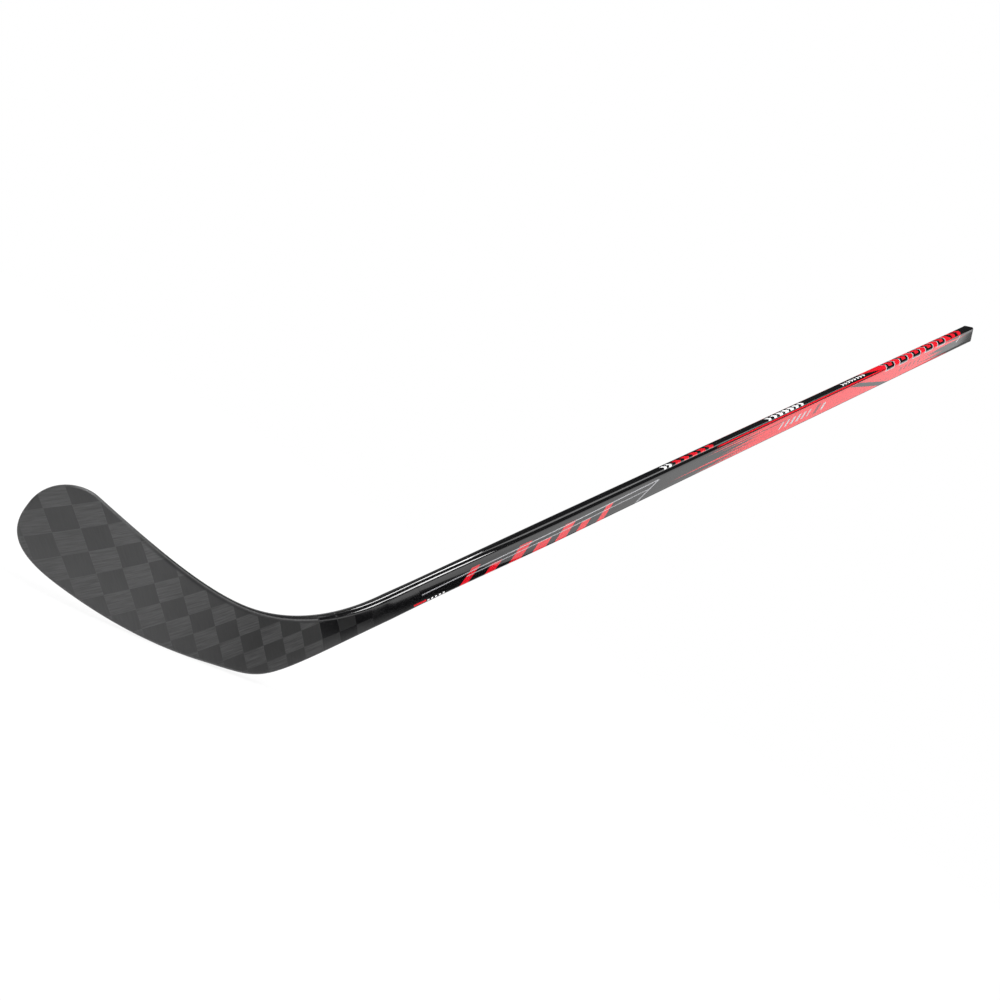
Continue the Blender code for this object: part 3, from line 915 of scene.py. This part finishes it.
def lacquer(colours):
    """Clear gloss over black and red paint, with speed lines, pinstripes and slanted bars."""
    finish = Finish("shaft_lacquer")
    along, around, _ = finish.split(finish.uv("wrap"))
    across = front_distance(around)
    lean = along + across * LEAN
    place = finish.object_space()
    on_broad = across.above(FRONT_SIDE_END)

    def marks(row, run=lean):
        return finish.marks(run, across, row)

    def pinstripe(pin):
        offset = across + along * pin.slope - pin.place
        return offset.within(-pin.half, pin.half, 0.0007) * along.within(pin.start, pin.end, 0.001)

    def tick(run, reach, soft=PRINT_EDGE):
        return lean.within(*run, soft) * across.within(*reach)

    # red field of the broad sides, drawn out into speed lines at both ends
    lines = finish.noise(finish.join(across * 430.0, along * 1.1, 0.0), 1.0, 2.0, 0.6) - 0.5
    fine = finish.noise(finish.join(across * 2600.0, along * 3.0, 4.0), 1.0, 1.0) - 0.5
    ragged = lines * 0.74 + fine * 0.12
    start = along + across * RED_LEAD[0] + ragged - RED_FIELD[0]
    end = along + ragged * 0.55 + across * RED_LEAD[1] - RED_FIELD[1]
    field = start.above(0.0, 0.022) * end.below(0.0, 0.016)
    red = field * on_broad * across.below(PAINT_END)
    # front side: black, then red from a slanted start, with a black end and two bars in it
    slant = along + (around - FRONT_MIDDLE) * 3.8
    front_red = slant.above(RED_FRONT[0], 0.0010) * along.below(RED_FRONT[1], 0.0012)
    red = finish.blend(on_broad, front_red.either(marks(RED_END_BARS)), red)
    # thin red line along the edge between front and broad side; under it a painted dark reflection,
    # a black line where the rounded corner mirrors the dark studio
    line_run = along.within(*EDGE_LINE_RUN, 0.012)
    red = red.either(across.within(*EDGE_LINE, 0.0003) * line_run)
    red = red * (across.within(*CORNER_DARK_REFLECTION, 0.0003) * line_run).inverse()
    # grey slanted band through the red field
    band = (along - across * 4.2).within(*GREY_BAND, 0.0012) * across.above(GREY_BAND_START)
    red = red * band.inverse()
    # slanted bars low on the broad sides, every other one short, and chevrons on the front
    bar = ((lean - RED_BARS.start) * (1.0 / RED_BARS.pitch)).floor()
    cut_short = bar.odd() * across.below(SHORT_BAR_START)
    red = red.either(marks(RED_BARS) * cut_short.inverse())
    red = red.either(heel_dash(along, across)).either(marks(RED_CHEVRONS))
    colour = finish.mix(red, colours.black, colours.red)
    # silver pinstripes that end in a slanted line, and silver ticks
    tail = (along + across * 2.4).within(0.6370, 0.6415, 0.0008) * across.within(0.0160, 0.0360)
    silver = marks(SILVER_EDGES).either(pinstripe(HIGH_PIN) * 0.9)
    silver = silver.either(pinstripe(LOW_PIN).either(tail) * 0.75).either(marks(SILVER_TICKS))
    silver = silver.either(tick(*LAST_TICK, 0.0005)).either(tick(*END_TICK, 0.0005))
    colour = finish.mix(silver, colour, colours.silver)
    # black bars inside the silver edges over the red front, each with a red slot
    colour = finish.mix(marks(BLACK_BARS), colour, colours.black)
    colour = finish.mix(marks(RED_SLOTS), colour, colours.red)
    dark = marks(BLACK_TICKS).either(tick(*DARK_TICK)) * 0.72
    colour = finish.mix(dark, colour, colours.black)
    white = marks(WHITE_HEEL_ROW, along)
    for row in WHITE_ROWS:
        white = white.either(marks(row))
    colour = finish.mix(white, colour, colours.white)
    # handling wear: small chips along the edges and a faint unevenness of the paint
    front_edge, back_edge = (across.within(*edge, 0.0012) for edge in CHIPPED_EDGES)
    chips = finish.noise(place, 640.0, 4.0, 0.75).above(0.71, 0.02) * front_edge.either(back_edge)
    colour = finish.mix(chips * 0.6, colour, CHIP)
    colour = finish.tint(colour, (finish.noise(place, 16.0, 4.0) - 0.5) * 0.09 + 1.0)
    finish.shade(base_color=colour, roughness=finish.noise(place, 22.0, 3.0) * 0.2 + 0.32,
                 specular_ior_level=0.0, coat_weight=1.0, coat_roughness=0.05)
    peel = finish.noise(place, 60.0, 2.0) + silver.either(white) * 0.3
    finish.bump(peel, 0.00003, 0.3)
    return finish.material


def plain(name, colour, roughness, grain, depth):
    """Even finish with a fine grain in its tone and its height."""
    finish = Finish(name)
    speck = finish.noise(finish.object_space(), grain, 3.0)
    tone = finish.mix(speck, [c * 0.85 for c in colour], [min(c * 1.15, 1.0) for c in colour])
    finish.shade(base_color=tone, roughness=roughness)
    finish.bump(speck, depth)
    return finish.material


# ---- operators ----

class STICK_OT_shaft(bpy.types.Operator):
    """Painted shaft with its taper"""
    bl_idname = "stick.shaft"
    bl_label = "Shaft"

    def execute(self, context):
        form = Form(context.scene.stick_sizes)
        z = form.z
        end = z.shaft_length - z.butt_flange - GAP
        taper = np.linspace(z.fuse_height + GAP, z.taper_top, TAPER_RINGS)
        straight = np.linspace(z.taper_top, end - CROWN_FADE, STRAIGHT_RINGS)[1:]
        fade = np.linspace(end - CROWN_FADE, end, FADE_RINGS)[1:]
        stations = [(float(along), 0.0) for along in np.concatenate([taper, straight, fade])]
        piece = swept_bar("painted_shaft", form, stations)
        dress(piece, lacquer(context.scene.stick_colours))
        put(piece, "shaft_tube", "shaft_tube")
        return {"FINISHED"}


class STICK_OT_blade(bpy.types.Operator):
    """Hosel and blade as one laminated skin"""
    bl_idname = "stick.blade"
    bl_label = "Hosel and blade"

    def execute(self, context):
        form = Form(context.scene.stick_sizes)
        z = form.z
        neck = np.linspace(z.fuse_height, NECK_HEIGHT, NECK_RIBS)[:-1]
        ribs = [form.shaft_rib(along) for along in neck] + form.blade_ribs(BLADE_RIBS)
        middles = np.array([(rib.foot + rib.head) / 2 for rib in ribs])
        spacing = np.linalg.norm(np.diff(middles, axis=0), axis=1)
        run = np.concatenate([[0.0], np.cumsum(spacing)])
        points, wrap, plan = [], [], []
        for rib, gone in zip(ribs, run):
            place, flat, rounds = form.section(rib, RIB_CORNER_STEPS, RIB_COLUMNS)
            points.append(place)
            plan.append(flat)
            wrap.append(np.stack([np.full(len(rounds), z.fuse_height - gone), rounds], axis=-1))
        piece = wrap_grid("carbon_blade", np.array(points),
                          {"plan": np.array(plan), "wrap": np.array(wrap)})
        dress(piece, carbon_weave(context.scene.stick_colours))
        put(piece, "blade_skin_backhand", "hosel_shell", "blade_skin_backhand",
            "blade_skin_forehand", "blade_edge_strip")
        return {"FINISHED"}


class STICK_OT_butt(bpy.types.Operator):
    """Rubber plug in the butt end"""
    bl_idname = "stick.butt"
    bl_label = "Butt plug"

    def execute(self, context):
        form = Form(context.scene.stick_sizes)
        z = form.z
        stations = [(z.shaft_length - z.butt_flange, 0.0)]
        for k in range(BUTT_STEPS + 1):
            turn = pi / 2 * k / BUTT_STEPS
            stations.append((z.shaft_length - BUTT_EDGE_ROUND * (1 - sin(turn)),
                             BUTT_EDGE_ROUND * (1 - cos(turn))))
        piece = swept_bar("butt_cap", form, stations)
        rubber = context.scene.stick_colours.rubber
        dress(piece, plain("butt_rubber", rubber, 0.5, 900.0, 0.00005))
        put(piece, "butt_end_plug", "butt_end_plug")
        return {"FINISHED"}


class STICK_OT_inside(bpy.types.Operator):
    """Finishes of the pieces inside the shaft and the blade"""
    bl_idname = "stick.inside"
    bl_label = "Inner pieces"

    def execute(self, context):
        colours = context.scene.stick_colours
        foam = plain("rigid_foam", colours.foam, 0.9, 700.0, 0.0002)
        bare = plain("bare_carbon", colours.carbon_dark, 0.5, 300.0, 0.0001)
        for node in ("hosel_core", "blade_core_lower", "blade_core_upper", "blade_core_toe",
                     "shaft_foam_plug"):
            dress(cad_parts[node], foam)
        for node in ("tenon_spigot", "blade_bridge"):
            dress(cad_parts[node], bare)
        return {"FINISHED"}


class STICK_OT_stage(bpy.types.Operator):
    """Floor, backdrop, soft lights and camera"""
    bl_idname = "stick.stage"
    bl_label = "Stage"

    def execute(self, context):
        stage = context.scene.stick_stage
        self.floor(context.scene.stick_colours)
        self.backdrop(context)
        # soft wall of light at the front right, and a box overhead that leaves no mirror image
        self.box("side_box", *SIDE_BOX, stage.side_power)
        self.box("top_box", *TOP_BOX, stage.top_power).visible_glossy = False
        # strips that draw the light lines along the front of the shaft and of the hosel
        self.strip("shaft_strip", *SHAFT_STRIP, stage.strip_power)
        self.strip("hosel_strip", *HOSEL_STRIP, stage.hosel_power)
        self.strip("heel_strip", *HEEL_STRIP, stage.heel_power)
        bpy.ops.object.camera_add(location=tuple(stage.camera_place),
                                  rotation=tuple(stage.camera_turn))
        camera = context.object
        camera.name = "photo_camera"
        camera.data.lens = stage.lens
        camera.data.sensor_width = SENSOR_WIDTH
        camera.data.clip_start = 0.01
        context.scene.camera = camera
        context.scene.view_settings.view_transform = "Standard"
        return {"FINISHED"}

    def lamp(self, name, place, turn, width, height, power):
        """Area light that the camera doesn't see."""
        bpy.ops.object.light_add(type="AREA", location=place, rotation=turn)
        light = bpy.context.object
        light.name = name
        light.data.shape = "RECTANGLE"
        light.data.size = width
        light.data.size_y = height
        light.data.energy = power
        light.visible_camera = False
        return light

    def box(self, name, place, target, width, height, power):
        """Soft box at a place, turned to a target."""
        way = Vector(target) - Vector(place)
        return self.lamp(name, place, way.to_track_quat("-Z", "Y").to_euler(), width, height, power)

    def strip(self, name, start, end, width, power):
        """Strip light above the stick, seen in its gloss alone."""
        (x, y), (far_x, far_y) = start, end
        light = self.lamp(name, ((x + far_x) / 2, (y + far_y) / 2, STRIP_HEIGHT),
                          (0.0, 0.0, atan2(far_y - y, far_x - x)),
                          float(np.hypot(far_x - x, far_y - y)), width, power)
        light.visible_diffuse = False

    def floor(self, colours):
        """Pale floor that runs out into the white backdrop and keeps the stick's shadow."""
        clear_selection()
        bpy.ops.mesh.primitive_plane_add(size=FLOOR_SIZE, location=(0.0, 0.0, 0.0))
        floor = bpy.context.object
        floor.name = "studio_floor"
        finish = Finish("studio_floor")
        tree = finish.tree
        finish.shade(base_color=(*colours.floor, 1.0), roughness=0.9, specular_ior_level=0.0)
        glow = add_node(tree, "Emission", Color=WHITE, Strength=FLOOR_GLOW)
        path = add_node(tree, "LightPath")
        far = add_node(tree, "VectorMath", finish.object_space(), operation="LENGTH")
        # the camera sees mostly glow near the stick, and glow alone further out
        reach, soft, least = GLOW_FADE
        fade = Field(tree, far.outputs["Value"]).above(reach, soft)
        fade = fade.math("MULTIPLY_ADD", 1.0 - least, least)
        share = Field(tree, path.outputs["Is Camera Ray"]) * fade
        mix = add_node(tree, "MixShader", share, finish.shader.outputs[0], glow.outputs[0])
        feed(tree, tree.nodes["Material Output"].inputs["Surface"], mix.outputs[0])
        dress(floor, finish.material)
        floor.visible_glossy = False

    def backdrop(self, context):
        """White backdrop with even fill; the gloss sees floor, dark horizon and grey ceiling."""
        world = bpy.data.worlds.new("studio")
        context.scene.world = world
        world.use_nodes = True
        tree = world.node_tree
        background = tree.nodes["Background"]
        background.inputs["Color"].default_value = WHITE
        path = add_node(tree, "LightPath")
        way = add_node(tree, "SeparateXYZ", add_node(tree, "TexCoord").outputs["Generated"])
        rise = Field(tree, way.outputs["Z"])
        ceiling = rise.within(*GLOSS_CEILING) * CEILING_GLOW + CEILING_LEAST
        floor = rise.below(*GLOSS_FLOOR_END) * GLOSS_FLOOR_GLOW
        gap = rise.within(*GLOSS_HORIZON).inverse()
        in_gloss = Field(tree, path.outputs["Is Glossy Ray"])
        seen = (ceiling * gap).either(floor) * in_gloss + in_gloss.inverse() * EVEN_FILL
        camera = Field(tree, path.outputs["Is Camera Ray"])
        white = camera.either(Field(tree, path.outputs["Is Transmission Ray"]))
        feed(tree, background.inputs["Strength"], seen.either(white))


class STICK_PT_panel(bpy.types.Panel):
    """Steps that build the stick"""
    bl_label = "Hockey stick"
    bl_idname = "STICK_PT_panel"
    bl_space_type = "VIEW_3D"
    bl_region_type = "UI"
    bl_category = "Stick"

    def draw(self, context):
        for step in STEPS:
            self.layout.operator(step.bl_idname)


STEPS = (STICK_OT_shaft, STICK_OT_blade, STICK_OT_butt, STICK_OT_inside, STICK_OT_stage)
GROUPS = (StickSizes, StickColours, StageSettings)


def register():
    for item in GROUPS + STEPS + (STICK_PT_panel,):
        bpy.utils.register_class(item)
    bpy.types.Scene.stick_sizes = PointerProperty(type=StickSizes)
    bpy.types.Scene.stick_colours = PointerProperty(type=StickColours)
    bpy.types.Scene.stick_stage = PointerProperty(type=StageSettings)


def unregister():
    for name in ("stick_sizes", "stick_colours", "stick_stage"):
        delattr(bpy.types.Scene, name)
    for item in (STICK_PT_panel,) + STEPS[::-1] + GROUPS[::-1]:
        bpy.utils.unregister_class(item)


def main():
    register()
    bpy.ops.stick.shaft()
    bpy.ops.stick.blade()
    bpy.ops.stick.butt()
    bpy.ops.stick.inside()
    bpy.ops.stick.stage()


if __name__ == "__main__":
    main()
